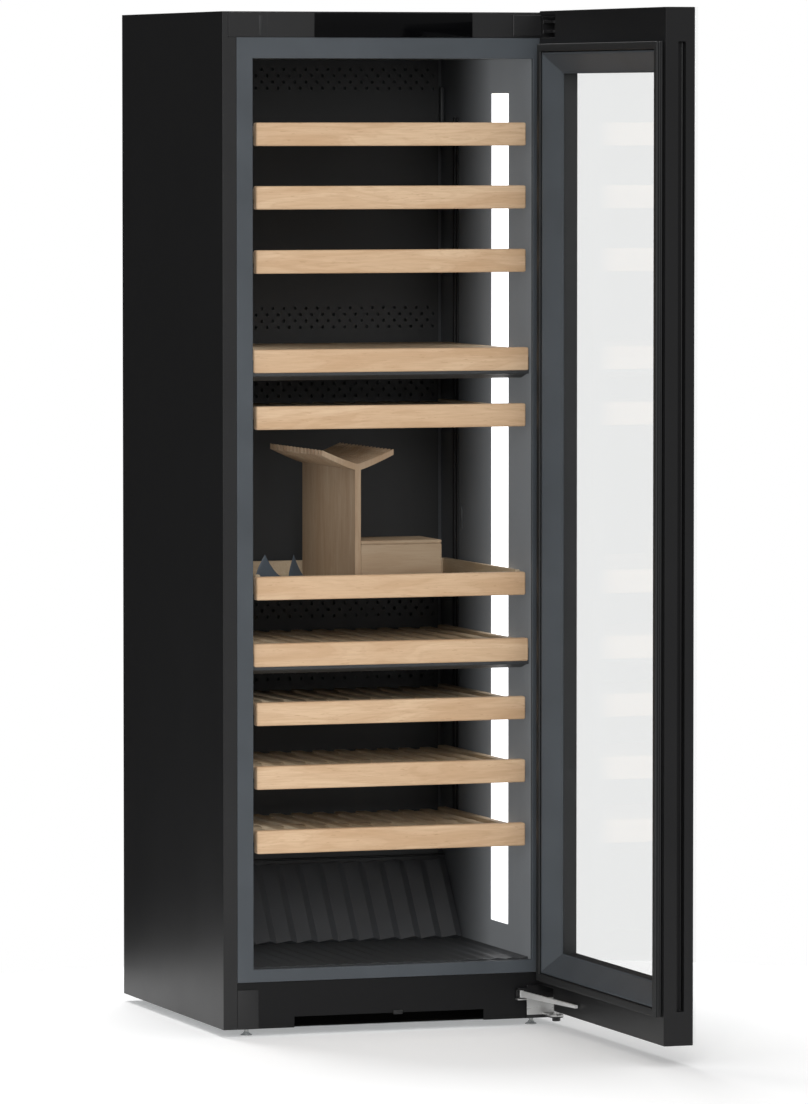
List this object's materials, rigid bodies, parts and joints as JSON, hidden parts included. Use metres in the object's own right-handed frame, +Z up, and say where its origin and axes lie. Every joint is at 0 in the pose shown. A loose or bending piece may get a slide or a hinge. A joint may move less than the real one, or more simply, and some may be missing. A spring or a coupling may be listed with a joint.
{
  "type": "wine cooler",
  "caption": "Tall free-standing wine cooler with a hinged glass door, sliding beech shelves, insulated zone dividers and a presentation tray.",
  "frame": {"origin": "middle of the footprint of the cabinet with its door open at 90 degrees, on the floor", "axes": "+Z up, +Y towards the cabinet's back, +X to the right seen from the front, where the door is hinged"},
  "size_m": [0.599, 1.17, 1.685],
  "materials": {
    "black_steel": "satin black powder coat",
    "door_black": "satin black coated sheet over foam",
    "galvanised": "galvanised sheet",
    "foam": "rigid foam",
    "liner_gray": "dark gray fine texture",
    "frame_gray": "gray satin",
    "black_glass": "glossy black",
    "chrome": "bright nickel",
    "hinge_steel": "black coated steel",
    "beech": "oiled beech",
    "dark_plastic": "matt black",
    "compressor_black": "black enamel",
    "light_panel": "lit white diffuser",
    "rubber": "soft matt",
    "slate": "blue gray satin",
    "clear_glass": "clear, lightly tinted"
  },
  "bodies": {
    "cabinet": {"side_panel_left": "black_steel", "side_panel_right": "black_steel", "top_panel": "black_steel", "control_panel": "black_steel", "hinge_cover": "black_steel", "plinth": "black_steel", "back_panel": "galvanised", "base_tray": "galvanised", "machine_cover": "galvanised", "insulation": "foam", "liner_shell": "liner_gray", "liner_left": "liner_gray", "liner_right": "liner_gray", "front_frame": "frame_gray", "zone_divider_upper": "frame_gray", "zone_divider_lower": "frame_gray", "display_glass": "black_glass", "bottom_hinge_bracket": "chrome", "top_hinge_bracket": "hinge_steel", "shelf_rails_left": "dark_plastic", "shelf_rails_right": "dark_plastic", "air_panel": "dark_plastic", "compressor": "compressor_black", "light_panel_left": "light_panel", "light_panel_right": "light_panel", "shelf_4_board": "beech", "shelf_4_deck": "beech", "shelf_7_board": "beech", "shelf_7_deck": "beech"},
    "shelf_1": {"shelf_1_board": "beech", "shelf_1_rack": "beech"},
    "shelf_2": {"shelf_2_board": "beech", "shelf_2_rack": "beech"},
    "shelf_3": {"shelf_3_board": "beech", "shelf_3_rack": "beech"},
    "shelf_5": {"shelf_5_board": "beech", "shelf_5_rack": "beech"},
    "shelf_6": {"shelf_6_board": "beech", "shelf_6_tray": "beech", "bottle_cradle": "beech", "accessory_box": "beech", "fin_left": "slate", "fin_right": "slate"},
    "shelf_8": {"shelf_8_board": "beech", "shelf_8_rack": "beech"},
    "shelf_9": {"shelf_9_board": "beech", "shelf_9_rack": "beech"},
    "shelf_10": {"shelf_10_board": "beech", "shelf_10_rack": "beech"},
    "door": {"door_casing": "door_black", "door_outer_glass": "clear_glass", "door_inner_glass": "clear_glass", "door_bezel": "frame_gray", "door_gasket": "rubber"},
    "door_stay": {"door_stay": "chrome"},
    "circulation_fan": {"circulation_fan": "dark_plastic"},
    "foot_front_left": {"foot_front_left": "chrome"},
    "foot_front_right": {"foot_front_right": "chrome"},
    "foot_rear_left": {"foot_rear_left": "chrome"},
    "foot_rear_right": {"foot_rear_right": "chrome"}
  },
  "joints": [
    {"name": "door_hinge", "type": "hinge", "parent": "cabinet", "child": "door", "pos_m": [0.2685, -0.018, 0.86], "axis": [0, 0, 1], "range_deg": [-90, 0]},
    {"name": "stay_pivot", "type": "hinge", "parent": "cabinet", "child": "door_stay", "pos_m": [0.2175, 0.0098, 0.055], "axis": [0, 0, 1], "range_deg": [-96.3, 0]},
    {"name": "shelf_1_slide", "type": "slide", "parent": "cabinet", "child": "shelf_1", "axis": [0, -1, 0], "range_m": [0, 0.3]},
    {"name": "shelf_2_slide", "type": "slide", "parent": "cabinet", "child": "shelf_2", "axis": [0, -1, 0], "range_m": [0, 0.3]},
    {"name": "shelf_3_slide", "type": "slide", "parent": "cabinet", "child": "shelf_3", "axis": [0, -1, 0], "range_m": [0, 0.3]},
    {"name": "shelf_5_slide", "type": "slide", "parent": "cabinet", "child": "shelf_5", "axis": [0, -1, 0], "range_m": [0, 0.3]},
    {"name": "shelf_6_slide", "type": "slide", "parent": "cabinet", "child": "shelf_6", "axis": [0, -1, 0], "range_m": [0, 0.3]},
    {"name": "shelf_8_slide", "type": "slide", "parent": "cabinet", "child": "shelf_8", "axis": [0, -1, 0], "range_m": [0, 0.3]},
    {"name": "shelf_9_slide", "type": "slide", "parent": "cabinet", "child": "shelf_9", "axis": [0, -1, 0], "range_m": [0, 0.3]},
    {"name": "shelf_10_slide", "type": "slide", "parent": "cabinet", "child": "shelf_10", "axis": [0, -1, 0], "range_m": [0, 0.3]},
    {"name": "fan_spin", "type": "hinge", "parent": "cabinet", "child": "circulation_fan", "pos_m": [-0.0045, 0.4665, 1.05266], "axis": [0, 1, 0], "continuous": true},
    {"name": "foot_front_left_turn", "type": "hinge", "parent": "cabinet", "child": "foot_front_left", "pos_m": [-0.2535, 0.04, 0.006], "axis": [0, 0, 1], "continuous": true},
    {"name": "foot_front_right_turn", "type": "hinge", "parent": "cabinet", "child": "foot_front_right", "pos_m": [0.2445, 0.04, 0.006], "axis": [0, 0, 1], "continuous": true},
    {"name": "foot_rear_left_turn", "type": "hinge", "parent": "cabinet", "child": "foot_rear_left", "pos_m": [-0.2535, 0.545, 0.006], "axis": [0, 0, 1], "continuous": true},
    {"name": "foot_rear_right_turn", "type": "hinge", "parent": "cabinet", "child": "foot_rear_right", "pos_m": [0.2445, 0.545, 0.006], "axis": [0, 0, 1], "continuous": true}
  ],
  "couplings": [
    {"joint": "stay_pivot", "follows": "door_hinge", "ratio": 1.0689}
  ]
}
